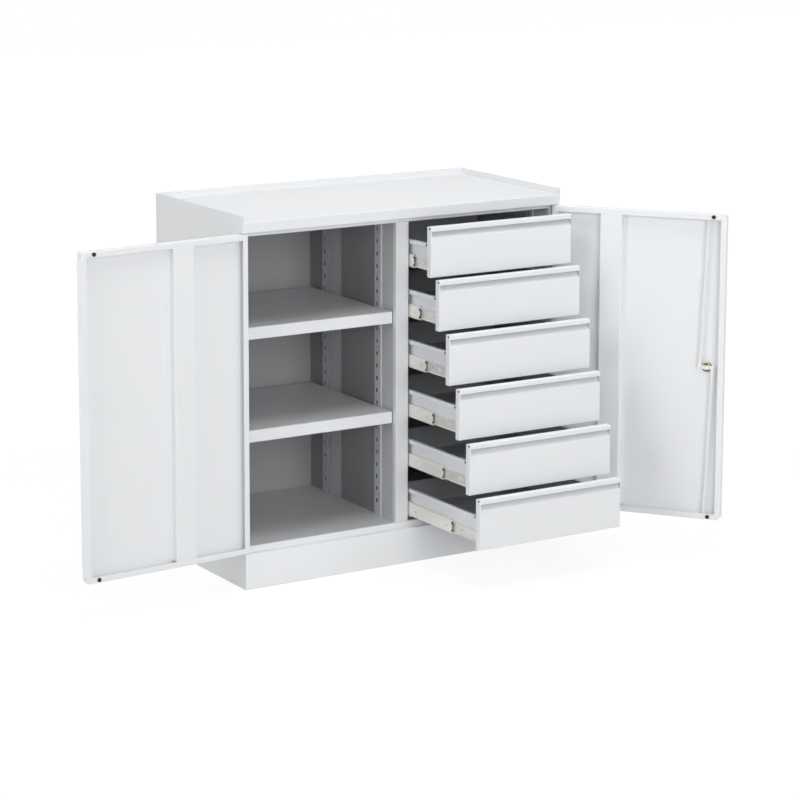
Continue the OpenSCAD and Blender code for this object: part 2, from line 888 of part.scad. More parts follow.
module buffers() {
    both_ends()
        translate([x_buffer, y_door + buffer_l, z_door_top - buffer_end])
            rotate([90, 0, 0])
                cylinder(r = buffer_r, h = buffer_l);
}

module left_door_pan() {
    color("whitesmoke")
        left_swing()
            mirror([1, 0, 0])
                door_pan();
}

module left_door_stiffener() {
    color("whitesmoke")
        left_swing()
            mirror([1, 0, 0])
                stiffener(left_stiff);
}

module left_door_overlap_strip() {
    color("whitesmoke")
        left_swing()
            block([-x_free - door_ret + 2, y_door, z_door + overlap_end],
                [-x_free + overlap, y_door + overlap_t, z_door_top - overlap_end]);
}

module left_door_buffers() {
    color("dimgray")
        left_swing()
            mirror([1, 0, 0])
                buffers();
}

module left_door_bushes() {
    color("silver")
        left_swing()
            mirror([1, 0, 0])
                bushes();
}

module right_door_pan() {
    color("whitesmoke")
        right_swing()
            difference() {
                door_pan();
                translate([x_lock, y_front + 2 * door_sheet, door_mid_z])
                    rotate([90, 0, 0])
                        cylinder(r = barrel_r + run_clear, h = 3 * door_sheet);
            }
}

module right_door_stiffener() {
    color("whitesmoke")
        right_swing()
            stiffener(right_stiff);
}

module right_door_buffers() {
    color("dimgray")
        right_swing()
            buffers();
}

module right_door_bushes() {
    color("silver")
        right_swing()
            bushes();
}

// ---- Rod lock ----

// Round piece on the lock axis between two depths
module on_lock(y0, y1, r) {
    translate([x_lock, y1, door_mid_z])
        rotate([90, 0, 0])
            cylinder(r = r, h = y1 - y0);
}

module lock_body() {
    y_end = y_cam - cam_t - slide_gap;
    color("silver")
        right_swing()
            difference() {
                union() {
                    on_lock(y_front - rosette_t, y_front, barrel_r + 7);
                    on_lock(y_front - rosette_t, y_end, barrel_r);
                    on_lock(y_front + door_sheet, y_front + 4, barrel_r + 4);
                }
                on_lock(y_front - rosette_t - 1, y_end + 1, spindle_r + run_clear);
            }
}

// Half ring that stands up from the cam plate
module cam_lug() {
    r = lug_h - 4;
    along_y(y_cam - cam_t, y_cam)
        translate([x_lock, door_mid_z + 4])
            difference() {
                circle(r = r);
                circle(r = r - 2);
                translate([-r - 1, -2 * r])
                    square([2 * r + 2, 2 * r]);
            }
}

// Cam plate with its spindle, its nut and the two pins that carry the rods
module lock_cam() {
    color("darkkhaki")
        right_swing() {
            on_lock(y_front - rosette_t - slide_gap, y_cam, spindle_r);
            on_lock(y_cam - cam_t, y_cam + 5, spindle_r - 1);
            translate([x_lock, y_cam + 3.5, door_mid_z])
                rotate([90, 0, 0])
                    cylinder(r = spindle_r + 2.5, h = 4, $fn = 6);
            hull()
                for (s = [-1, 1])
                    translate([s * cam_r, 0, 0])
                        on_lock(y_cam - cam_t, y_cam, 5);
            cam_lug();
            for (s = [-1, 1])
                translate([s * cam_r, 0, 0]) {
                    on_lock(y_cam - cam_t, y_cam + eye_t + 3 * slide_gap + 1, rod_pin_r);
                    on_lock(y_cam + eye_t + 2 * slide_gap, y_cam + eye_t + 2 * slide_gap + 1.2,
                        rod_pin_r + 1.5);
                }
        }
}

module door_handle() {
    y1 = y_front - rosette_t - slide_gap;
    color("silver")
        right_swing() {
            on_lock(y1 - 14, y1, barrel_r + 2);
            hull() {
                on_lock(y1 - 14, y1 - 6, 9);
                translate([lever_l, 0, 0])
                    on_lock(y1 - 14, y1 - 6, 7);
            }
        }
}

// Rod from the pin at the hinge side of the cam up to the top edge
module rod_up() {
    translate([x_lock + cam_r, y_rod, door_mid_z])
        rotate([0, -rod_tilt, 0])
            difference() {
                union() {
                    translate([0, eye_t / 2, 0])
                        rotate([90, 0, 0])
                            cylinder(r = eye_r, h = eye_t);
                    block([-rod_r - 1, -eye_t / 2, 0], [rod_r + 1, eye_t / 2, stem_l]);
                    translate([0, 0, stem_l - 4])
                        cylinder(r = rod_r, h = rod_l - stem_l + 2);
                    translate([0, 0, rod_l - 2])
                        cylinder(r1 = rod_r, r2 = rod_r - 1.4, h = 2);
                }
                translate([0, eye_t, 0])
                    rotate([90, 0, 0])
                        cylinder(r = rod_pin_r + run_clear, h = 2 * eye_t);
            }
}

module upper_rod() {
    color("silver")
        right_swing()
            rod_up();
}

module lower_rod() {
    color("silver")
        right_swing()
            translate([2 * x_lock, 0, 2 * door_mid_z])
                rotate([0, 180, 0])
                    rod_up();
}

left_side_panel();
right_side_panel();
back_panel();
top_tray();
top_rail();
bottom_board();
plinth();
base_channel();
partition();
left_bay_uprights();
drawer_bay_uprights();
upper_shelf();
lower_shelf();
shelf_clips();
outer_rails();
hinge_pins();
left_door_pan();
left_door_stiffener();
left_door_overlap_strip();
left_door_buffers();
left_door_bushes();
right_door_pan();
right_door_stiffener();
right_door_buffers();
right_door_bushes();
lock_body();
lock_cam();
door_handle();
upper_rod();
lower_rod();
drawer_front(1);  // drawer_front_1
drawer_front(2);  // drawer_front_2
drawer_front(3);  // drawer_front_3
drawer_front(4);  // drawer_front_4
drawer_front(5);  // drawer_front_5
drawer_front(6);  // drawer_front_6
drawer_box(1);  // drawer_box_1
drawer_box(2);  // drawer_box_2
drawer_box(3);  // drawer_box_3
drawer_box(4);  // drawer_box_4
drawer_box(5);  // drawer_box_5
drawer_box(6);  // drawer_box_6
drawer_rails(1);  // drawer_rails_1
drawer_rails(2);  // drawer_rails_2
drawer_rails(3);  // drawer_rails_3
drawer_rails(4);  // drawer_rails_4
drawer_rails(5);  // drawer_rails_5
drawer_rails(6);  // drawer_rails_6
middle_rails(1);  // middle_rails_1
middle_rails(2);  // middle_rails_2
middle_rails(3);  // middle_rails_3
middle_rails(4);  // middle_rails_4
middle_rails(5);  // middle_rails_5
middle_rails(6);  // middle_rails_6
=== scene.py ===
"""Dresses the steel tool cabinet: finishes, small hardware, studio and camera.

The cabinet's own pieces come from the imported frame. This file gives each of them a
finish worked out in shader maths, adds the small hardware that sits on them (rubber
buffers, the lever handle, the slides' stops and the drawers' screws), and builds the
studio round the object. All lengths are metres in the frame's own axes: +X right,
+Y back, +Z up.
"""

import json
import logging
import math
from dataclasses import dataclass, field
from enum import Enum
from typing import Any, Dict, List, Optional, Sequence, Tuple, Union

import bmesh
import bpy
import numpy as np
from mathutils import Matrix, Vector

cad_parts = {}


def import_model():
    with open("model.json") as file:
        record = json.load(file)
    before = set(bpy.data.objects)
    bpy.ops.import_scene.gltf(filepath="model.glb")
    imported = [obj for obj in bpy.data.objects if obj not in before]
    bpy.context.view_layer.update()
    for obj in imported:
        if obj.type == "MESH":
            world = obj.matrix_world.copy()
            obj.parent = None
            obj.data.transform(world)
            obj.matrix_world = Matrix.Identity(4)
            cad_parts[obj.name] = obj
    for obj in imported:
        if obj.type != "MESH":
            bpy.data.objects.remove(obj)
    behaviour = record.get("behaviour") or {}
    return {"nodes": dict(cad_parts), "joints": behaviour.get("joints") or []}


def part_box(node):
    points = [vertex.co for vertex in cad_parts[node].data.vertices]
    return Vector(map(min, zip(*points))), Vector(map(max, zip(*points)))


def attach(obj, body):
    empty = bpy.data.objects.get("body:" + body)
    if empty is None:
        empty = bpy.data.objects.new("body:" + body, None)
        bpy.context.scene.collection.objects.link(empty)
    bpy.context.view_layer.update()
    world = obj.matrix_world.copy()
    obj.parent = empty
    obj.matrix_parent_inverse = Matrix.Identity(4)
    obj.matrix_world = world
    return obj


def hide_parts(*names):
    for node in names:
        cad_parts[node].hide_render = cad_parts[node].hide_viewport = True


frame: Dict[str, Any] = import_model()
log = logging.getLogger("tool_cabinet")

Colour = Tuple[float, float, float, float]
Span = Tuple[float, float]
Triple = Tuple[float, float, float]
Link = Union["Wire", float, int, Colour, Triple]
MM = 0.001
OPEN = 1.0  # metres past every piece, for a space without a limit along an axis
WHITE: Colour = (1.0, 1.0, 1.0, 1.0)


# ---------------------------------------------------------------- shader maths


def paint(code: str) -> Colour:
    """Turns a written colour into the linear colour that a shader takes.

    Args:
        code: six hexadecimal digits, two each for red, green and blue.

    Returns:
        The linear red, green, blue and an alpha of 1.
    """
    knee, slope, offset, power = 0.04045, 12.92, 0.055, 2.4
    channels = np.array([int(code[k : k + 2], 16) for k in (0, 2, 4)]) / 255.0
    low = channels / slope
    high = ((channels + offset) / (1.0 + offset)) ** power
    red, green, blue = np.where(channels <= knee, low, high).tolist()
    return (red, green, blue, 1.0)


def grey(level: float) -> Colour:
    """A neutral linear colour of one level."""
    return (level, level, level, 1.0)


class Wire:
    """A node's output socket that can be used in a Python expression."""

    def __init__(self, graph: "Graph", socket: bpy.types.NodeSocket) -> None:
        """Keeps the graph that owns the socket, so that an operator can add a node to it."""
        self.graph = graph
        self.socket = socket

    def __add__(self, other: Link) -> "Wire":
        """This value plus another."""
        return self.graph.math("ADD", self, other)

    def __radd__(self, other: Link) -> "Wire":
        """Another value plus this one."""
        return self.graph.math("ADD", other, self)

    def __sub__(self, other: Link) -> "Wire":
        """This value less another."""
        return self.graph.math("SUBTRACT", self, other)

    def __rsub__(self, other: Link) -> "Wire":
        """Another value less this one."""
        return self.graph.math("SUBTRACT", other, self)

    def __mul__(self, other: Link) -> "Wire":
        """This value times another."""
        return self.graph.math("MULTIPLY", self, other)

    def __rmul__(self, other: Link) -> "Wire":
        """Another value times this one."""
        return self.graph.math("MULTIPLY", other, self)

    def __gt__(self, other: Link) -> "Wire":
        """1 where this value is above the other, else 0."""
        return self.graph.math("GREATER_THAN", self, other)

    def __lt__(self, other: Link) -> "Wire":
        """1 where this value is below the other, else 0."""
        return self.graph.math("LESS_THAN", self, other)

    def clamped(self) -> "Wire":
        """The value held between 0 and 1."""
        return self.graph.math("MINIMUM", self.graph.math("MAXIMUM", self, 0.0), 1.0)


class Graph:
    """The node tree of a material or of the sky, with the few calls that it needs."""

    def __init__(self, owner: Union[bpy.types.Material, bpy.types.World]) -> None:
        """Empties the owner's tree.

        Args:
            owner: the material or the sky.
        """
        owner.use_nodes = True
        self.owner = owner
        self.tree = owner.node_tree
        self.tree.nodes.clear()

    def node(
        self,
        kind: str,
        settings: Optional[Dict[str, Any]] = None,
        inputs: Optional[Dict[Union[str, int], Link]] = None,
    ) -> bpy.types.Node:
        """Adds a node, sets it up, then gives its sockets their values or links.

        Args:
            kind: the node's type, such as "ShaderNodeMath".
            settings: the node's own attributes, which are set first.
            inputs: values or wires by socket name or number.

        Returns:
            The new node.
        """
        made = self.tree.nodes.new(kind)
        for key, value in (settings or {}).items():
            setattr(made, key, value)
        for key, value in (inputs or {}).items():
            if isinstance(value, Wire):
                self.tree.links.new(value.socket, made.inputs[key])
            else:
                made.inputs[key].default_value = value
        return made

    def out(self, made: bpy.types.Node, socket: Union[str, int] = 0) -> Wire:
        """One output of a node as a wire."""
        return Wire(self, made.outputs[socket])

    def math(self, operation: str, *values: Link) -> Wire:
        """A Math node on numbers or wires.

        Args:
            operation: the Math node's operation.
            values: its inputs in order.

        Returns:
            Its output.
        """
        settings, inputs = {"operation": operation}, dict(enumerate(values))
        return self.out(self.node("ShaderNodeMath", settings, inputs))

    def place(self) -> Wire:
        """Object coordinates, which are metres in the frame's axes."""
        return self.out(self.node("ShaderNodeTexCoord"), "Object")

    def parts(self, vector: Wire) -> Tuple[Wire, Wire, Wire]:
        """The three numbers of a vector."""
        split = self.node("ShaderNodeSeparateXYZ", None, {0: vector})
        return self.out(split, 0), self.out(split, 1), self.out(split, 2)

    def normal(self) -> Tuple[Wire, Wire, Wire]:
        """The three numbers of the surface's own direction."""
        return self.parts(self.out(self.node("ShaderNodeNewGeometry"), "Normal"))

    def seen(self) -> Wire:
        """1 for what the camera or a glossy face looks at, else 0."""
        rays = self.node("ShaderNodeLightPath")
        straight, mirrored = self.out(rays, "Is Camera Ray"), self.out(rays, "Is Glossy Ray")
        return self.math("MAXIMUM", straight, mirrored)

    def scaled(self, vector: Wire, scale: Triple) -> Wire:
        """A vector with each axis stretched by its own factor."""
        inputs = {"Vector": vector, "Scale": scale}
        return self.out(self.node("ShaderNodeMapping", None, inputs))

    def noise(
        self, vector: Wire, scale: float, detail: float = 2.0, rough: float = 0.5
    ) -> Wire:
        """Cloudy noise between 0 and 1.

        Args:
            vector: where it is read.
            scale: how many clouds to a metre.
            detail: octaves of finer noise.
            rough: how strong the finer noise is.

        Returns:
            The noise value.
        """
        inputs = {"Vector": vector, "Scale": scale, "Detail": detail, "Roughness": rough}
        return self.out(self.node("ShaderNodeTexNoise", None, inputs))

    def flakes(self, vector: Wire, scale: float) -> Wire:
        """A level between 0 and 1 for each cell of a pattern with scale cells to a metre."""
        cells = self.node("ShaderNodeTexVoronoi", None, {"Vector": vector, "Scale": scale})
        colour = self.out(cells, "Color")
        return self.out(self.node("ShaderNodeSeparateColor", None, {"Color": colour}))

    def mixed(self, factor: Link, a: Link, b: Link, blend: str = "MIX") -> Wire:
        """A colour that goes from a to b as factor goes from 0 to 1.

        Args:
            factor: how far it goes.
            a: the first colour.
            b: the second colour.
            blend: how the second is laid over the first.

        Returns:
            The colour.
        """
        settings = {"data_type": "RGBA", "blend_type": blend}
        factor_in, a_in, b_in, colour_out = 0, 6, 7, 2
        inputs = {factor_in: factor, a_in: a, b_in: b}
        return self.out(self.node("ShaderNodeMix", settings, inputs), colour_out)

    def bump(self, height: Wire, distance: float, strength: float) -> Wire:
        """A normal from a height between 0 and 1.

        Args:
            height: the height field.
            distance: the height's full size in metres.
            strength: how much of it shows.

        Returns:
            The bumped normal.
        """
        inputs = {"Height": height, "Distance": distance, "Strength": strength}
        return self.out(self.node("ShaderNodeBump", None, inputs))

    def surface(self, inputs: Dict[str, Link]) -> bpy.types.Material:
        """Closes the tree with a Principled shader.

        Args:
            inputs: values or wires for the shader's sockets.

        Returns:
            The finished material.
        """
        shader = self.node("ShaderNodeBsdfPrincipled", None, inputs)
        self.node("ShaderNodeOutputMaterial", None, {"Surface": self.out(shader)})
        return self.owner


# ---------------------------------------------------------------- finishes


class Side(Enum):
    """Which faces of a sheet carry the second, inner colour, a painted shade."""

    NONE = "none"
    RIGHT = "faces towards +X"
    LEFT = "faces towards -X"
    FRONT = "faces towards -Y"
    TOP = "faces towards +Z"
    BOX = "inner faces of an open box"


@dataclass(frozen=True)
class ShadeHollow:
    """A space inside folded sheet where shade is painted into the colour, alike on both sides
    of a middle.

    Attributes:
        middle: the middle across x, in metres.
        across: least and greatest distance from that middle.
        deep: where it starts and ends along y.
        high: where it starts and ends along z.
        colour: the painted shade, darker than the paint round it.
    """

    middle: float
    across: Span
    deep: Span
    high: Span
    colour: Colour

    def mask(self, g: Graph, place: Wire) -> Wire:
        """1 inside the space: the product of one test for each axis.

        Args:
            g: the material's graph.
            place: Object coordinates.

        Returns:
            The mask.
        """
        x, y, z = g.parts(place)
        away = g.math("ABSOLUTE", x - self.middle)
        spans = ((away, self.across), (y, self.deep), (z, self.high))
        tests = [(value > low) * (value < high) for value, (low, high) in spans]
        return tests[0] * tests[1] * tests[2]


@dataclass(frozen=True)
class PowderCoat:
    """Baked powder paint: fine orange peel, faint clouding and a satin gloss, with painted
    shade on inner faces and in hollows.

    Attributes:
        name: the material's name.
        colour: the paint.
        inner: a darker paint for the faces that side names, which paints shade on them.
        side: which faces those are.
        top: height above which the inner paint stops, in metres.
        middle: the box's middle across x, in metres, for Side.BOX.
        shade_hollows: folded-in spaces with painted shade, each laid over those before it.
        rough: the gloss.
        gloss_swing: how far the gloss drifts.
        gloss_scale: its drifts to a metre.
        cloud_scale: clouds of the faint dimming to a metre.
        cloud_from: noise level at which the dimming starts.
        cloud_gain: how fast it grows from there.
        cloud_share: its share of the colour.
        cloud_tint: the colour that it dims towards.
        peel_scales: waves of the coarse and the fine orange peel to a metre.
        peel_coarse: the coarse one's share.
        peel_height: height of the peel in metres.
        peel_strength: how much of it shows.
        specular: how much the binder reflects.
    """

    name: str
    colour: Colour
    inner: Optional[Colour] = None
    side: Side = Side.NONE
    top: float = OPEN
    middle: float = 0.0
    shade_hollows: Tuple[ShadeHollow, ...] = ()
    rough: float = 0.42
    gloss_swing: float = 0.10
    gloss_scale: float = 38.0
    cloud_scale: float = 4.0
    cloud_from: float = 0.35
    cloud_gain: float = 0.9
    cloud_share: float = 0.6
    cloud_tint: Colour = (0.93, 0.935, 0.94, 1.0)
    peel_scales: Span = (620.0, 1700.0)
    peel_coarse: float = 0.65
    peel_height: float = 0.22 * MM
    peel_strength: float = 0.28
    specular: float = 0.42

    def _mask(self, g: Graph, place: Wire) -> Wire:
        """1 on the faces that take the inner paint, the painted shade.

        Args:
            g: the material's graph.
            place: Object coordinates.

        Returns:
            The mask.
        """
        x, _, z = g.parts(place)
        nx, ny, nz = g.normal()
        half, least_reach = 0.5, 0.02
        if self.side is Side.RIGHT:
            facing = nx > half
        elif self.side is Side.LEFT:
            facing = nx < -half
        elif self.side is Side.FRONT:
            facing = ny < -half
        elif self.side is Side.TOP:
            facing = nz > half
        else:
            across = (nx * (self.middle - x)) > least_reach
            facing = (across + (nz > half) + (ny < -half)).clamped()
        return facing * (z < self.top)

    def build(self) -> bpy.types.Material:
        """Makes the material.

        Returns:
            The material.
        """
        g = Graph(bpy.data.materials.new(self.name))
        place = g.place()
        base: Link = self.colour
        # painted shade: the darker inner paint on the faces that side names, then each hollow's
        # darker colour over it
        if self.inner is not None:
            base = g.mixed(self._mask(g, place), self.colour, self.inner)
        for hollow in self.shade_hollows:
            base = g.mixed(hollow.mask(g, place), base, hollow.colour)
        cloud = (g.noise(place, self.cloud_scale, 3.0) - self.cloud_from) * self.cloud_gain
        tint = g.mixed(cloud, WHITE, self.cloud_tint)
        coarse = g.noise(place, self.peel_scales[0], 1.0)
        fine = g.noise(place, self.peel_scales[1], 0.0)
        peel = coarse * self.peel_coarse + fine * (1.0 - self.peel_coarse)
        drift = g.noise(place, self.gloss_scale) - 0.5
        return g.surface(
            {
                "Base Color": g.mixed(self.cloud_share, base, tint, "MULTIPLY"),
                "Roughness": self.rough + drift * self.gloss_swing,
                "Specular IOR Level": self.specular,
                "Normal": g.bump(peel, self.peel_height, self.peel_strength),
            }
        )


@dataclass(frozen=True)
class ZincSheet:
    """Zinc on drawn or rolled steel: streaks along the drawing and a faint spangle.

    Attributes:
        name: the material's name.
        colour: the bright part of the zinc.
        shade: the darker grains.
        streak: stretch of the drawing marks along x, y and z.
        rough: the gloss.
        metal: how metallic it is; passivated zinc scatters more light.
        grain_scale: drawing marks to a metre.
        flake_scale: flakes of the spangle to a metre.
        grain_share: the marks' share of the colour; the flakes have the rest.
        relief_share: the marks' share of the relief.
        relief: height of the relief in metres.
        relief_strength: how much of it shows.
        gloss_swing: how far the gloss drifts.
    """

    name: str
    colour: Colour
    shade: Colour
    streak: Triple = (1.0, 0.04, 1.0)
    rough: float = 0.32
    metal: float = 1.0
    grain_scale: float = 900.0
    flake_scale: float = 240.0
    grain_share: float = 0.7
    relief_share: float = 0.8
    relief: float = 0.06 * MM
    relief_strength: float = 0.35
    gloss_swing: float = 0.16

    def build(self) -> bpy.types.Material:
        """Makes the material.

        Returns:
            The material.
        """
        g = Graph(bpy.data.materials.new(self.name))
        place = g.place()
        grain = g.noise(g.scaled(place, self.streak), self.grain_scale, 3.0, 0.6)
        flake = g.flakes(place, self.flake_scale)
        mask = (grain * self.grain_share + flake * (1.0 - self.grain_share)).clamped()
        height = grain * self.relief_share + flake * (1.0 - self.relief_share)
        return g.surface(
            {
                "Base Color": g.mixed(mask, self.shade, self.colour),
                "Metallic": self.metal,
                "Roughness": self.rough + (mask - 0.5) * self.gloss_swing,
                "Normal": g.bump(height, self.relief, self.relief_strength),
            }
        )


@dataclass(frozen=True)
class MouldedRubber:
    """Moulded rubber or nylon: dull, fine-grained, a little dusty.

    Attributes:
        name: the material's name.
        colour: the compound.
        rough: the gloss.
        gloss_swing: how far the grain changes it.
        grain_scale: grains to a metre.
        grain_height: their height in metres.
        grain_strength: how much of it shows.
        dust_scale: patches of dust to a metre.
        dust_from: noise level at which the dust starts.
        dust_gain: how fast it grows from there.
        dust_lift: the dust's share and its own level, over the compound.
        specular: how much the compound reflects.
    """

    name: str
    colour: Colour
    rough: float = 0.62
    gloss_swing: float = 0.2
    grain_scale: float = 2600.0
    grain_height: float = 0.08 * MM
    grain_strength: float = 0.4
    dust_scale: float = 320.0
    dust_from: float = 0.52
    dust_gain: float = 1.4
    dust_lift: Span = (0.55, 0.06)
    specular: float = 0.4

    def build(self) -> bpy.types.Material:
        """Makes the material.

        Returns:
            The material.
        """
        g = Graph(bpy.data.materials.new(self.name))
        place = g.place()
        grain = g.noise(place, self.grain_scale)
        patches = g.noise(place, self.dust_scale, 3.0) - self.dust_from
        share, level = self.dust_lift
        pale = tuple(share * channel + level for channel in self.colour[:3]) + (1.0,)
        return g.surface(
            {
                "Base Color": g.mixed(patches.clamped() * self.dust_gain, self.colour, pale),
                "Roughness": self.rough + (grain - 0.5) * self.gloss_swing,
                "Specular IOR Level": self.specular,
                "Normal": g.bump(grain, self.grain_height, self.grain_strength),
            }
        )


Finish = Union[PowderCoat, ZincSheet, MouldedRubber]


class Finishes:
    """Every finish of the cabinet, made once and handed out by name.

    Attributes:
        by_name: the materials by the names of their finishes.
    """

    DRAWERS = range(1, 7)
    SHELL = paint("e6e8ea")
    # painted shade: a tone darker than the shell for faces deep inside the case
    INSIDE_SHADE = paint("dfe1e3")
    DOOR = paint("e9ebed")
    TALL = (60.0 * MM, 955.0 * MM)

    def __init__(self) -> None:
        """Builds all the materials."""
        made: List[Finish] = [
            *self.case_paints(),
            PowderCoat("door_paint", self.DOOR),
            *(self.front_paint(k) for k in self.DRAWERS),
            *(self.drawer_paint(k) for k in self.DRAWERS),
            *self.metals(),
            MouldedRubber("buffer_rubber", paint("17181a")),
            # dark nylon stops, partly painted shade: their black also stands in for the shade
            # in the slides' notches
            MouldedRubber("stop_nylon", paint("2a2b2d"), 0.5),
        ]
        self.by_name: Dict[str, bpy.types.Material] = {m.name: m.build() for m in made}

    def bands(self, across: Span, deep: Sequence[Span], code: str) -> Tuple[ShadeHollow, ...]:
        """Upright bands of painted shade, alike on both sides of x = 0.

        Args:
            across: their least and greatest distance from x = 0.
            deep: where each band starts and ends along y.
            code: the shade's colour, as paint takes it.

        Returns:
            One hollow for each band.
        """
        return tuple(ShadeHollow(0.0, across, span, self.TALL, paint(code)) for span in deep)

    def case_paints(self) -> List[Finish]:
        """Paints of the case with painted shade: darker inside, and darkest behind the slotted
        strips.

        Returns:
            The finishes.
        """
        wall_x, post_x = (abs(corner[0]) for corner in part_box("left_bay_uprights"))
        wall = (wall_x - 0.8 * MM, wall_x + 0.5 * MM)
        post = post_x + 0.6 * MM
        strips = ((-146.0 * MM, -114.0 * MM), (136.0 * MM, 168.0 * MM))
        behind_front = ((-208.4 * MM, OPEN),)
        folds = [((y - 1.5) * MM, (y + 1.4) * MM) for y in (77.0, 135.0)]
        rail_z, rim_z = 955.0 * MM, 982.0 * MM
        # painted shade: near-black on the walls behind the slotted strips, seen through the
        # slots; grey on the post's sides behind its front and on the uprights' rear folds
        slot_shade = "121314"
        on_wall = self.bands(wall, strips, slot_shade)
        on_post = self.bands((-OPEN, post), behind_front, "98999b")
        on_post += self.bands((0.0, post), strips, slot_shade)
        on_folds = self.bands((-OPEN, OPEN), folds, "8c8d8f")
        sides = {
            # painted shade: the side panels' inner faces below the rail take darker paint, the
            # left one much darker
            "side_left_paint": (paint("a2a3a6"), Side.RIGHT),
            "side_right_paint": (self.INSIDE_SHADE, Side.LEFT),
        }
        return [
            PowderCoat("shell_paint", self.SHELL),
            *(
                PowderCoat(name, self.SHELL, inner, side, rail_z, shade_hollows=on_wall)
                for name, (inner, side) in sides.items()
            ),
            # painted shade: the back panel's front faces below the rim and the shelves' top
            # faces take darker paint
            PowderCoat("back_paint", self.SHELL, paint("a4a4a7"), Side.FRONT, rim_z),
            PowderCoat("shelf_paint", self.SHELL, paint("cfd0d2"), Side.TOP),
            # painted light: the plinth's paint is lighter than the shell's, lifting the shade
            # that the drawers cast on it
            PowderCoat("plinth_paint", paint("eef0f2")),
            PowderCoat("rail_paint", paint("dcdee0")),
            # painted shade: the post and the uprights are darker than the shell
            PowderCoat("post_paint", paint("dcdee0"), shade_hollows=on_post),
            PowderCoat("upright_paint", paint("c6c8ca"), shade_hollows=on_folds),
            # painted shade: the drawer bay's uprights take the darker inside tone
            PowderCoat("drawer_upright_paint", self.INSIDE_SHADE),
        ]

    @staticmethod
    def metals() -> List[Finish]:
        """Plated and bare metals of the slides, the lock and the small hardware.

        Returns:
            The finishes.
        """
        even, upright, level = (1.0, 1.0, 1.0), (1.0, 1.0, 0.04), (0.05, 1.0, 1.0)
        return [
            ZincSheet("slide_zinc", paint("f6f4f0"), paint("d4d2cd"), metal=0.25),
            ZincSheet("middle_zinc", paint("fbf9f5"), paint("e6e2db"), rough=0.36, metal=0.2),
            ZincSheet("rod_zinc", paint("e9e9e8"), paint("c6c6c5"), upright),
            ZincSheet("lock_plating", paint("f5f1e8"), paint("ddd6c8"), even, 0.3, 0.5),
            # painted shade: the barrel's zinc is much darker than the cam's, for the shade
            # behind the cam
            ZincSheet("barrel_zinc", paint("8d8982"), paint("66635d"), even),
            ZincSheet("screw_zinc", paint("d8d9da"), paint("9d9e9f"), even),
            ZincSheet("handle_chrome", paint("dfe0e2"), paint("b9babc"), level, 0.26),
        ]

    def front_paint(self, k: int) -> PowderCoat:
        """Paint of one drawer front, with painted shade on the wall behind the lip.

        Args:
            k: the drawer, counted from the top.

        Returns:
            The finish.
        """
        end, lip, deep, edge = 1.7 * MM, 2.2 * MM, 12.4 * MM, 0.5 * MM
        low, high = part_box(f"drawer_front_{k}")
        middle, half = (low[0] + high[0]) / 2, (high[0] - low[0]) / 2
        hollow = ShadeHollow(
            middle,
            (-OPEN, half - end),
            (low[1] + lip, high[1] - edge),
            (high[2] - deep, high[2] - edge),
            # painted shade on the wall behind the lip
            paint("4f5255"),
        )
        return PowderCoat(f"drawer_front_paint_{k}", self.DOOR, shade_hollows=(hollow,))

    @staticmethod
    def drawer_paint(k: int) -> PowderCoat:
        """Paint of one drawer box, with painted shade on its inner faces and inside its rolled
        edges.

        Args:
            k: the drawer, counted from the top.

        Returns:
            The finish.
        """
        roll, wall, front, deep, edge = 9.0 * MM, 1.5 * MM, 21.3 * MM, 11.0 * MM, 0.5 * MM
        low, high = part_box(f"drawer_box_{k}")
        middle, half = (low[0] + high[0]) / 2, (high[0] - low[0]) / 2
        hollow = ShadeHollow(
            middle,
            (half - roll, half - wall),
            (low[1] + front, OPEN),
            (high[2] - deep, high[2] - edge),
            # painted shade inside the rolled edge
            paint("3c3e40"),
        )
        return PowderCoat(
            f"drawer_box_paint_{k}",
            paint("e4e6e9"),
            # painted shade: darker paint on the box's inner faces
            paint("b4b6b9"),
            Side.BOX,
            middle=middle,
            shade_hollows=(hollow,),
        )

    def dress(self, thing: bpy.types.Object, name: str) -> None:
        """Gives an object one finish over all its faces.

        Args:
            thing: the object.
            name: the finish's name.
        """
        thing.data.materials.clear()
        thing.data.materials.append(self.by_name[name])
        log.info("%s wears %s", thing.name, name)

    def dress_nodes(self, names: Dict[str, str]) -> None:
        """Gives pieces of the frame their finishes.

        Args:
            names: the finish's name by the node's name.
        """
        for node, name in names.items():
            self.dress(frame["nodes"][node], name)


# ---------------------------------------------------------------- surfaces


def skin(
    name: str, points: np.ndarray, wrap_u: bool = False, wrap_v: bool = False
) -> bpy.types.Object:
    """Makes a surface from a grid of points, point (i, j) joined to its next in u and v.

    Args:
        name: the object's name.
        points: an array of shape (rows, columns, 3) in metres.
        wrap_u: joins the last row to the first.
        wrap_v: joins the last column to the first.

    Returns:
        The new object, merged where points coincide, with its faces outwards.
    """
    rows, columns = points.shape[:2]
    u = np.arange(rows if wrap_u else rows - 1)
    v = np.arange(columns if wrap_v else columns - 1)
    uu, vv = np.meshgrid(u, v, indexing="ij")
    next_u, next_v = (uu + 1) % rows, (vv + 1) % columns
    corners = [(uu, vv), (next_u, vv), (next_u, next_v), (uu, next_v)]
    quads = np.stack([row * columns + column for row, column in corners], axis=-1)
    return solid(name, points.reshape(-1, 3), quads.reshape(-1, 4))


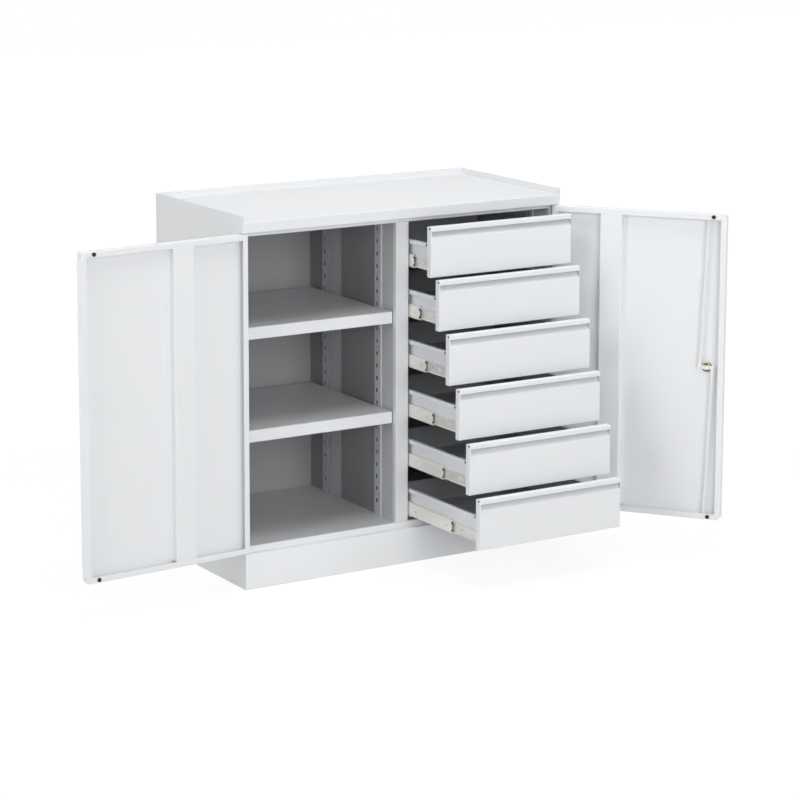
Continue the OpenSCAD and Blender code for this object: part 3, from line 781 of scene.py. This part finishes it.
def solid(name: str, points: np.ndarray, faces: np.ndarray) -> bpy.types.Object:
    """Puts points and faces into a mesh, merges doubles and turns the faces outwards.

    Args:
        name: the object's name.
        points: an array of shape (n, 3) in metres.
        faces: an array of shape (m, corners) of point numbers.

    Returns:
        The new object.
    """
    mesh = bpy.data.meshes.new(name)
    mesh.from_pydata(points.tolist(), [], faces.tolist())
    shape = bmesh.new()
    shape.from_mesh(mesh)
    bmesh.ops.remove_doubles(shape, verts=shape.verts, dist=1e-7)
    bmesh.ops.dissolve_degenerate(shape, edges=shape.edges, dist=1e-8)
    bmesh.ops.recalc_face_normals(shape, faces=shape.faces)
    shape.to_mesh(mesh)
    shape.free()
    thing = bpy.data.objects.new(name, mesh)
    bpy.context.scene.collection.objects.link(thing)
    return thing


def turned_points(profile: Sequence[Span], segments: int = 40) -> np.ndarray:
    """Points of a turned shape: each profile point (r, h) goes round the +Z axis.

    Args:
        profile: radius and height pairs in metres, from one pole to the other.
        segments: steps round the axis.

    Returns:
        An array of shape (profile points, segments, 3).
    """
    rh = np.asarray(profile, float)
    turn = np.linspace(0.0, 2.0 * np.pi, segments, endpoint=False)
    ring = np.stack([np.cos(turn), np.sin(turn)], axis=-1)
    flat = rh[:, 0, None, None] * ring[None, :, :]
    height = np.broadcast_to(rh[:, 1, None, None], flat.shape[:2] + (1,))
    return np.concatenate([flat, height], axis=-1)


def placed(points: np.ndarray, origin: Vector, axis: Vector) -> np.ndarray:
    """Carries points so that their +Z lies along axis and their origin at origin.

    Args:
        points: an array whose last axis is x, y, z.
        origin: where their origin goes.
        axis: where their +Z points.

    Returns:
        The moved points, in the same shape.
    """
    turn = np.array(axis.normalized().to_track_quat("Z", "Y").to_matrix())
    return points @ turn.T + np.array(origin)


def pillow(name: str, centre: Vector, half: Triple, power: float = 0.4) -> bpy.types.Object:
    """A block with soft edges: each sine and cosine of a sphere is raised to one power.

    Args:
        name: the object's name.
        centre: its centre.
        half: its half sizes along x, y and z.
        power: 1 gives an ellipsoid, and towards 0 a sharp block.

    Returns:
        The new object.
    """
    turn = np.linspace(0.0, 2.0 * np.pi, 24, endpoint=False)
    rise = np.linspace(-np.pi / 2, np.pi / 2, 13)

    def bent(value: np.ndarray) -> np.ndarray:
        """A signed power of a value."""
        return np.sign(value) * np.abs(value) ** power

    level = bent(np.sin(rise))[:, None] * np.ones_like(turn)
    reach = bent(np.cos(rise) * (np.abs(np.cos(rise)) > 1e-9))[:, None]
    points = np.stack([reach * bent(np.cos(turn)), reach * bent(np.sin(turn)), level], axis=-1)
    return skin(name, points * np.array(half) + np.array(centre), wrap_v=True)


def screw_points(radius: float, height: float) -> np.ndarray:
    """Points of a pan head on the plane z = 0 with a cross recess in its crown.

    The crown is height * (1 - (r / radius)**4)**0.5. The recess takes off up to recess_deep
    of the height where the smaller of |x| and |y| is under arm_half of the radius, out to
    recess_r of it, over a soft edge.

    Args:
        radius: the head's radius.
        height: the head's height.

    Returns:
        An array of shape (rings, segments, 3), from the crown's middle to the base's.
    """
    arm_half, recess_r, recess_edge, recess_deep = 0.14, 0.5, 0.04, 0.6
    r = np.concatenate([np.linspace(0.0, 0.9, 10), [0.96, 0.99, 1.0]])[:, None]
    turn = np.linspace(0.0, 2.0 * np.pi, 32, endpoint=False)
    x, y = r * np.cos(turn), r * np.sin(turn)
    crown = np.sqrt(1.0 - r**4) * np.ones_like(x)
    arm = np.exp(-((np.minimum(np.abs(x), np.abs(y)) / arm_half) ** 4))
    inner = 1.0 / (1.0 + np.exp((r - recess_r) / recess_edge))
    level = crown - recess_deep * arm * inner
    top = np.stack([radius * x, radius * y, height * level], axis=-1)
    base = np.zeros((1, turn.size, 3))
    return np.concatenate([top, base])


def merged(name: str, pieces: List[bpy.types.Object]) -> bpy.types.Object:
    """Joins several objects into one and drops the others.

    Args:
        name: the joined object's name.
        pieces: the objects.

    Returns:
        The joined object.
    """
    shape = bmesh.new()
    for piece in pieces:
        shape.from_mesh(piece.data)
    mesh = bpy.data.meshes.new(name)
    shape.to_mesh(mesh)
    shape.free()
    for piece in pieces:
        old = piece.data
        bpy.data.objects.remove(piece)
        bpy.data.meshes.remove(old)
    thing = bpy.data.objects.new(name, mesh)
    bpy.context.scene.collection.objects.link(thing)
    return thing


def soften(thing: bpy.types.Object, angle: float = 35.0) -> None:
    """Shades a piece smooth, with edges kept sharp above an angle.

    Args:
        thing: the object.
        angle: the angle in degrees.
    """
    thing.data.shade_smooth()
    thing.data.set_sharp_from_angle(angle=math.radians(angle))


# ---------------------------------------------------------------- joints' frames


@dataclass(frozen=True)
class Swing:
    """Where a point of the shut door lies with the door as it stands.

    Attributes:
        pivot: the hinge line's x and y in metres.
        angle: the turn about +Z in degrees.
        flip: mirrors x first, for the left door.
    """

    pivot: Span
    angle: float
    flip: bool = False

    def point(self, x: float, y: float, z: float) -> Vector:
        """A point given for the shut right-hand door, in metres.

        Args:
            x: across the front.
            y: depth.
            z: height.

        Returns:
            The point with the door standing open.
        """
        a = math.radians(self.angle)
        dx, dy = x - self.pivot[0], y - self.pivot[1]
        turned = (
            self.pivot[0] + dx * math.cos(a) - dy * math.sin(a),
            self.pivot[1] + dx * math.sin(a) + dy * math.cos(a),
        )
        return Vector((-turned[0] if self.flip else turned[0], turned[1], z))

    def axis(self, x: float, y: float, z: float) -> Vector:
        """A direction given for the shut right-hand door, turned with the door."""
        start_x, start_y = self.pivot
        return self.point(start_x + x, start_y + y, z) - self.point(start_x, start_y, 0.0)


def hinge_swing(side: str, least: float) -> Swing:
    """How a shut door is carried to where it stands, from its hinge in the frame.

    Args:
        side: "left" or "right".
        least: how far the door stands open at its joint's least angle, in degrees.

    Returns:
        The swing.
    """
    joint = next(j for j in frame["joints"] if j["name"] == f"{side}_door_hinge")
    x, y, _ = joint["pos_m"]
    return Swing((abs(x), y), least - joint["range_deg"][0], x < 0.0)


# ---------------------------------------------------------------- sub-assemblies


@dataclass
class Carcass:
    """The fixed sheet-metal case with its uprights, shelves and fixed rails.

    Attributes:
        finishes: the finishes.
        paints: the name of each piece's finish.
    """

    finishes: Finishes
    paints: Dict[str, str] = field(
        default_factory=lambda: {
            "left_side_panel": "side_left_paint",
            "right_side_panel": "side_right_paint",
            "back_panel": "back_paint",
            "top_tray": "shell_paint",
            "top_rail": "rail_paint",
            "bottom_board": "shelf_paint",
            "plinth": "plinth_paint",
            "base_channel": "shell_paint",
            "partition": "post_paint",
            "left_bay_uprights": "upright_paint",
            "drawer_bay_uprights": "drawer_upright_paint",
            "upper_shelf": "shelf_paint",
            "lower_shelf": "shelf_paint",
            "shelf_clips": "screw_zinc",
            "outer_rails": "slide_zinc",
            "hinge_pins": "rod_zinc",
        }
    )

    def dress(self) -> None:
        """Gives each piece of the case its finish."""
        self.finishes.dress_nodes(self.paints)


@dataclass
class Door:
    """One door with its stiffener, bushes and buffers.

    Attributes:
        finishes: the finishes.
        side: "left" or "right", which is also the body's prefix.
        swing: how the shut door is carried to where it stands.
        x_buffer: the buffers' x on the shut right-hand door.
        y_inner: the door's inner plane when shut.
        buffer_z: heights of the two buffers.
        buffer_r: the buffer's radius.
        buffer_l: how far it stands proud.
        edge_r: radius of its rolled rim.
        dimple_r: radius of the dimple in its crown.
        dimple_deep: the dimple's depth.
    """

    finishes: Finishes
    side: str
    swing: Swing
    x_buffer: float = 39 * MM
    y_inner: float = -230 * MM
    buffer_z: Span = (945 * MM, 106 * MM)
    buffer_r: float = 5.5 * MM
    buffer_l: float = 3.2 * MM
    edge_r: float = 1.4 * MM
    dimple_r: float = 2.0 * MM
    dimple_deep: float = 0.55 * MM

    def dress(self) -> None:
        """Gives the door's own sheet pieces their finishes."""
        names = ["door_pan", "door_stiffener"]
        if self.side == "left":
            names.append("door_overlap_strip")
        self.finishes.dress_nodes({f"{self.side}_{name}": "door_paint" for name in names})
        self.finishes.dress_nodes({f"{self.side}_door_bushes": "rod_zinc"})

    def buffers(self) -> None:
        """Turned rubber buffers: a rim rolled over to a crown with a dimple at its middle."""
        r, h, edge = self.buffer_r, self.buffer_l, self.edge_r
        rim = [
            (r - edge + edge * math.cos(a), h - edge + edge * math.sin(a))
            for a in np.linspace(0.0, np.pi / 2, 8)
        ]
        well = [
            (self.dimple_r * (1.0 - a / np.pi), h - self.dimple_deep * math.sin(a / 2))
            for a in np.linspace(0.0, np.pi, 9)
        ]
        points = turned_points([(0.0, 0.0), (r, 0.0), *rim, *well])
        inwards = self.swing.axis(0.0, 1.0, 0.0)
        pieces = [
            skin(
                "buffer",
                placed(points, self.swing.point(self.x_buffer, self.y_inner, z), inwards),
                wrap_v=True,
            )
            for z in self.buffer_z
        ]
        thing = merged(f"{self.side}_buffer_pair", pieces)
        soften(thing)
        self.finishes.dress(thing, "buffer_rubber")
        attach(thing, f"{self.side}_door")
        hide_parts(f"{self.side}_door_buffers")


@dataclass
class RodLock:
    """The rod lock on the right door: barrel, cam, rods and the lever handle outside.

    Attributes:
        finishes: the finishes.
        swing: how the shut door is carried to where it stands.
        axis: the lock's x and z on the shut door.
        seat: the plane on which the handle turns.
        hub_r: radius of the handle's hub.
        hub_h: how far the hub stands out.
        grip_l: length of the grip from the axis to its tip.
        grip_half: half height of the grip at the hub and near the tip.
        grip_thick: half thickness of the grip.
        grip_bow: how far its ends lie behind its middle.
    """

    finishes: Finishes
    swing: Swing
    axis: Span = (54.0 * MM, 525.5 * MM)
    seat: float = -252.3 * MM
    hub_r: float = 12.0 * MM
    hub_h: float = 14.0 * MM
    grip_l: float = 88.6 * MM
    grip_half: Span = (9.0 * MM, 6.9 * MM)
    grip_thick: float = 3.9 * MM
    grip_bow: float = 1.2 * MM

    def dress(self) -> None:
        """Gives the lock's pieces their finishes."""
        rods = dict.fromkeys(("upper_rod", "lower_rod"), "door_paint")
        self.finishes.dress_nodes({"lock_body": "barrel_zinc", "lock_cam": "lock_plating"})
        self.finishes.dress_nodes(rods)

    def _hub(self) -> np.ndarray:
        """The hub round the lock's axis: foot, waist, rounded crown and a keyway.

        The keyway is a slot sunk in a disc that a groove divides from the crown.

        Returns:
            Points in millimetres, with +Z away from the door.
        """
        r, h = self.hub_r / MM, self.hub_h / MM
        foot, waist, fillet = 2.2, 1.5, 2.0
        disc, groove_deep = 6.0, 0.5
        key_half, key_deep = (0.8, 3.2), 1.5
        base = [(0.0, 0.0), (r, 0.0), (r, foot), (r - 0.5, foot + 0.6), (r - waist, foot + 1.0)]
        crown = [
            (r - waist - fillet * (1.0 - math.cos(a)), h - fillet * (1.0 - math.sin(a)))
            for a in np.linspace(0.0, np.pi / 2, 6)
        ]
        floor = h - groove_deep
        groove = [(disc + 0.6, h), (disc + 0.4, floor), (disc + 0.1, floor)]
        face = [(ring, h) for ring in np.arange(disc, -0.5, -1.0)]
        points = turned_points([*base, *crown, *groove, *face], 64)
        x, y, z = (points[..., k] for k in range(3))
        key = (np.abs(x) < key_half[0]) & (np.abs(y) < key_half[1]) & (z > h - 0.1)
        points[..., 2] -= key_deep * key
        return points

    def _grip(self) -> np.ndarray:
        """The grip: a rounded section carried out from the axis, drawn in at both ends.

        The section's half height goes from one end's value to the other along a cosine, its
        centre bows outwards in the middle, and a quarter circle closes each end.

        Returns:
            Points in metres, with +X along the grip and +Z away from the door.
        """
        hub_half, tip_half = self.grip_half
        start, tip = -0.6 * hub_half, self.grip_l
        fullness, clear = 0.8, 0.1 * MM
        way = (1.0 - np.cos(np.linspace(0.0, np.pi, 48))) / 2.0
        along = start + (tip - start) * way
        share = (1.0 - np.cos(np.pi * np.clip(along / tip, 0.0, 1.0))) / 2.0
        wide = hub_half + (tip_half - hub_half) * share
        nose = np.clip(np.minimum(along - start, tip - along) / tip_half, 0.0, 1.0)
        close = np.sqrt(1.0 - (1.0 - nose) ** 2)
        turn = np.linspace(0.0, 2.0 * np.pi, 40, endpoint=False)
        c, s = (np.sign(v) * np.abs(v) ** fullness for v in (np.cos(turn), np.sin(turn)))
        middle = self.hub_h - self.grip_thick - clear
        bow = self.grip_bow * (np.sin(np.pi * way) - 1.0)
        up = (wide * close)[:, None] * c
        out = middle + bow[:, None] + (self.grip_thick * close)[:, None] * s
        return np.stack([along[:, None] * np.ones_like(turn), up, out], axis=-1)

    def handle(self) -> None:
        """The lever handle: hub with keyway and rounded grip, as one casting."""
        origin = self.swing.point(self.axis[0], self.seat, self.axis[1])
        out, along = self.swing.axis(0.0, -1.0, 0.0), self.swing.axis(1.0, 0.0, 0.0)
        axes = np.array([along, out.cross(along), out])
        pieces = [
            skin(name, points @ axes + np.array(origin), wrap_v=True)
            for name, points in (("hub", self._hub() * MM), ("grip", self._grip()))
        ]
        thing = merged("lever_handle", pieces)
        soften(thing, 40.0)
        self.finishes.dress(thing, "handle_chrome")
        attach(thing, "lock")
        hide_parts("door_handle")


@dataclass
class DrawerStack:
    """Six drawers on telescopic slides.

    Attributes:
        finishes: the finishes.
        stop_size: half sizes of a nylon stop across, along and up.
        stop_at: its centre from the member's outer face, front end and middle.
        screw_r: radius of a screw head.
        screw_h: height of the head.
        screw_at: screws behind the front end of a drawer's own member.
        screw_seat: how far inside the outer ends of the pair's box their heads sit.
    """

    finishes: Finishes
    stop_size: Triple = (1.2 * MM, 3.3 * MM, 3.0 * MM)
    stop_at: Triple = (2.6 * MM, 3.7 * MM, 9.6 * MM)
    screw_r: float = 3.4 * MM
    screw_h: float = 1.6 * MM
    screw_at: Span = (77.4 * MM, 301.0 * MM)
    screw_seat: float = 5.5 * MM

    def dress(self) -> None:
        """Gives the drawers and their slides their finishes."""
        for k in Finishes.DRAWERS:
            self.finishes.dress_nodes(
                {
                    f"drawer_front_{k}": f"drawer_front_paint_{k}",
                    f"drawer_box_{k}": f"drawer_box_paint_{k}",
                    f"drawer_rails_{k}": "slide_zinc",
                    f"middle_rails_{k}": "middle_zinc",
                }
            )

    def stops(self, k: int) -> None:
        """Black nylon stops that fill the notches at the front of both middle members; their
        black also stands in for the shade in the notches.

        Args:
            k: the drawer, counted from the top.
        """
        low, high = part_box(f"middle_rails_{k}")
        across, along, up = self.stop_at
        middle = (low[2] + high[2]) / 2
        pieces = [
            pillow(
                "stop",
                Vector((end + inwards * across, low[1] + along, middle + level * up)),
                self.stop_size,
            )
            for end, inwards in ((low[0], 1), (high[0], -1))
            for level in (-1, 1)
        ]
        thing = merged(f"slide_stops_{k}", pieces)
        soften(thing)
        self.finishes.dress(thing, "stop_nylon")
        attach(thing, f"slides_{k}")

    def screws(self, k: int) -> None:
        """Cross-recessed screws that hold both inner members to the drawer's sides.

        Args:
            k: the drawer, counted from the top.
        """
        low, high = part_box(f"drawer_rails_{k}")
        middle = (low[2] + high[2]) / 2
        head = screw_points(self.screw_r, self.screw_h)
        pieces = [
            skin(
                "screw",
                placed(
                    head,
                    Vector((end + inwards * self.screw_seat, low[1] + place, middle)),
                    Vector((-inwards, 0.0, 0.0)),
                ),
                wrap_v=True,
            )
            for end, inwards in ((low[0], 1), (high[0], -1))
            for place in self.screw_at
        ]
        thing = merged(f"slide_screws_{k}", pieces)
        soften(thing, 50.0)
        self.finishes.dress(thing, "screw_zinc")
        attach(thing, f"drawer_{k}")


# ---------------------------------------------------------------- studio


@dataclass(frozen=True)
class Lamp:
    """A square soft light that looks at the cabinet's middle.

    Attributes:
        name: the lamp's name.
        place: where it stands, in metres.
        size: its edge in metres.
        watts: its power.
        mirrored: whether glossy faces show it.
    """

    name: str
    place: Triple
    size: float
    watts: float
    mirrored: bool = True

    def hang(self, target: Vector) -> None:
        """Puts the lamp up.

        Args:
            target: the point that it looks at.
        """
        data = bpy.data.lights.new(self.name, "AREA")
        data.size = self.size
        data.energy = self.watts
        thing = bpy.data.objects.new(self.name, data)
        thing.location = self.place
        thing.visible_glossy = self.mirrored
        aim = target - Vector(self.place)
        thing.rotation_euler = aim.to_track_quat("-Z", "Y").to_euler()
        bpy.context.scene.collection.objects.link(thing)


@dataclass
class Studio:
    """Pale floor, soft lamps and the camera.

    Attributes:
        eye: the camera's place in metres.
        yaw: turn from +Y towards +X in degrees.
        pitch: tilt below level in degrees.
        focal_px: focal length in pixels of a picture that is picture_px wide.
        picture_px: that picture's width.
        sensor_mm: the sensor's width in millimetres.
        shift: sideways and upward shift of the frame.
        target: the point that the lamps look at.
        ambient: the sky's strength on the object.
        floor_half: half the floor's edge in metres.
        floor_drop: how far the floor lies below the cabinet.
        floor_matt: how much of the lamps' light the floor shows.
        floor_bounce: how much of it the floor throws on the object.
        floor_glow: the floor's own light near the cabinet and far from it.
        floor_near: radius at which its far light starts to come in.
        floor_fade: how fast that light comes in, to a metre.
    """

    eye: Triple = (-3.736009, -6.191592, 2.04758)
    yaw: float = 31.092
    pitch: float = 9.657
    focal_px: float = 2648.869
    picture_px: float = 800.0
    sensor_mm: float = 36.0
    shift: Span = (0.052, -0.18)
    target: Triple = (0.0, -0.1, 0.55)
    ambient: float = 0.165
    floor_half: float = 14.0
    floor_drop: float = 0.4 * MM
    floor_matt: float = 0.16
    floor_bounce: float = 0.6
    floor_glow: Span = (0.87, 1.02)
    floor_near: float = 1.2
    floor_fade: float = 0.9

    def lamps(self) -> Tuple[Lamp, ...]:
        """The lamps; those behind stay out of the gloss, which would show them as glare."""
        return (
            Lamp("front", (-0.5, -6.0, 1.6), 3.0, 127.0),
            Lamp("front_left", (-3.6, -5.6, 2.6), 2.0, 40.0),
            Lamp("front_right", (3.2, -5.6, 2.4), 2.0, 30.0),
            Lamp("top", (0.2, -0.6, 4.6), 3.5, 110.0),
            Lamp("left", (-5.0, -0.8, 2.2), 3.0, 100.0),
            Lamp("right", (5.2, 0.6, 1.1), 2.0, 60.0, False),
            Lamp("back_left", (-1.6, 6.0, 1.1), 2.0, 50.0, False),
            Lamp("back_right", (3.0, 5.8, 1.1), 2.0, 100.0, False),
        )

    def camera(self) -> None:
        """Sets up the camera."""
        lens = bpy.data.cameras.new("camera")
        lens.lens = self.focal_px / self.picture_px * self.sensor_mm
        lens.sensor_width = self.sensor_mm
        lens.shift_x, lens.shift_y = self.shift
        lens.clip_end = 60.0
        thing = bpy.data.objects.new("camera", lens)
        thing.location = self.eye
        turn = (90.0 - self.pitch, 0.0, -self.yaw)
        thing.rotation_euler = tuple(math.radians(angle) for angle in turn)
        bpy.context.scene.collection.objects.link(thing)
        bpy.context.scene.camera = thing

    def floor(self) -> None:
        """A large pale plane: most of its light is its own, so shadows stay faint."""
        edge = np.array([-self.floor_half, self.floor_half])
        x, y = np.meshgrid(edge, edge, indexing="ij")
        plane = skin("floor", np.stack([x, y, np.full_like(x, -self.floor_drop)], axis=-1))
        g = Graph(bpy.data.materials.new("floor_white"))
        near, far = (
            g.out(g.node("ShaderNodeEmission", None, {"Color": WHITE, "Strength": glow}))
            for glow in self.floor_glow
        )
        matt, bounce = (
            g.out(g.node("ShaderNodeBsdfDiffuse", None, {"Color": grey(level)}))
            for level in (self.floor_matt, self.floor_bounce)
        )
        both = g.out(g.node("ShaderNodeAddShader", None, {0: matt, 1: near}))
        length = {"operation": "LENGTH"}
        away = g.out(g.node("ShaderNodeVectorMath", length, {0: g.place()}), "Value")
        outer = ((away - self.floor_near) * self.floor_fade).clamped()
        shown = g.out(g.node("ShaderNodeMixShader", None, {0: outer, 1: both, 2: far}))
        pick = g.node("ShaderNodeMixShader", None, {0: g.seen(), 1: bounce, 2: shown})
        g.node("ShaderNodeOutputMaterial", None, {"Surface": g.out(pick)})
        plane.data.materials.append(g.owner)

    def sky(self) -> None:
        """An even sky that lights the object faintly and that the camera sees as white."""
        g = Graph(bpy.data.worlds.new("studio"))
        levels = {"Value": g.seen(), "To Min": self.ambient, "To Max": 1.0}
        strength = g.out(g.node("ShaderNodeMapRange", None, levels))
        back = g.node("ShaderNodeBackground", None, {"Color": WHITE, "Strength": strength})
        g.node("ShaderNodeOutputWorld", None, {"Surface": g.out(back)})
        bpy.context.scene.world = g.owner

    def build(self) -> None:
        """Sets the colour view, the sky, the lamps, the floor and the camera."""
        bpy.context.scene.view_settings.view_transform = "Standard"
        self.sky()
        for lamp in self.lamps():
            lamp.hang(Vector(self.target))
        self.floor()
        self.camera()


def main() -> None:
    """Dresses the sub-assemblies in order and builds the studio."""
    logging.basicConfig(level=logging.INFO, format="%(name)s: %(message)s")
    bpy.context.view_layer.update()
    finishes = Finishes()
    Carcass(finishes).dress()
    shut, clear_of_drawers = 0.0, 91.0
    left = Door(finishes, "left", hinge_swing("left", shut))
    right = Door(finishes, "right", hinge_swing("right", clear_of_drawers))
    for door in (left, right):
        door.dress()
        door.buffers()
    lock = RodLock(finishes, right.swing)
    lock.dress()
    lock.handle()
    drawers = DrawerStack(finishes)
    drawers.dress()
    for k in Finishes.DRAWERS:
        drawers.stops(k)
        drawers.screws(k)
    Studio().build()
    log.info("boxes written")


if __name__ == "__main__":
    main()
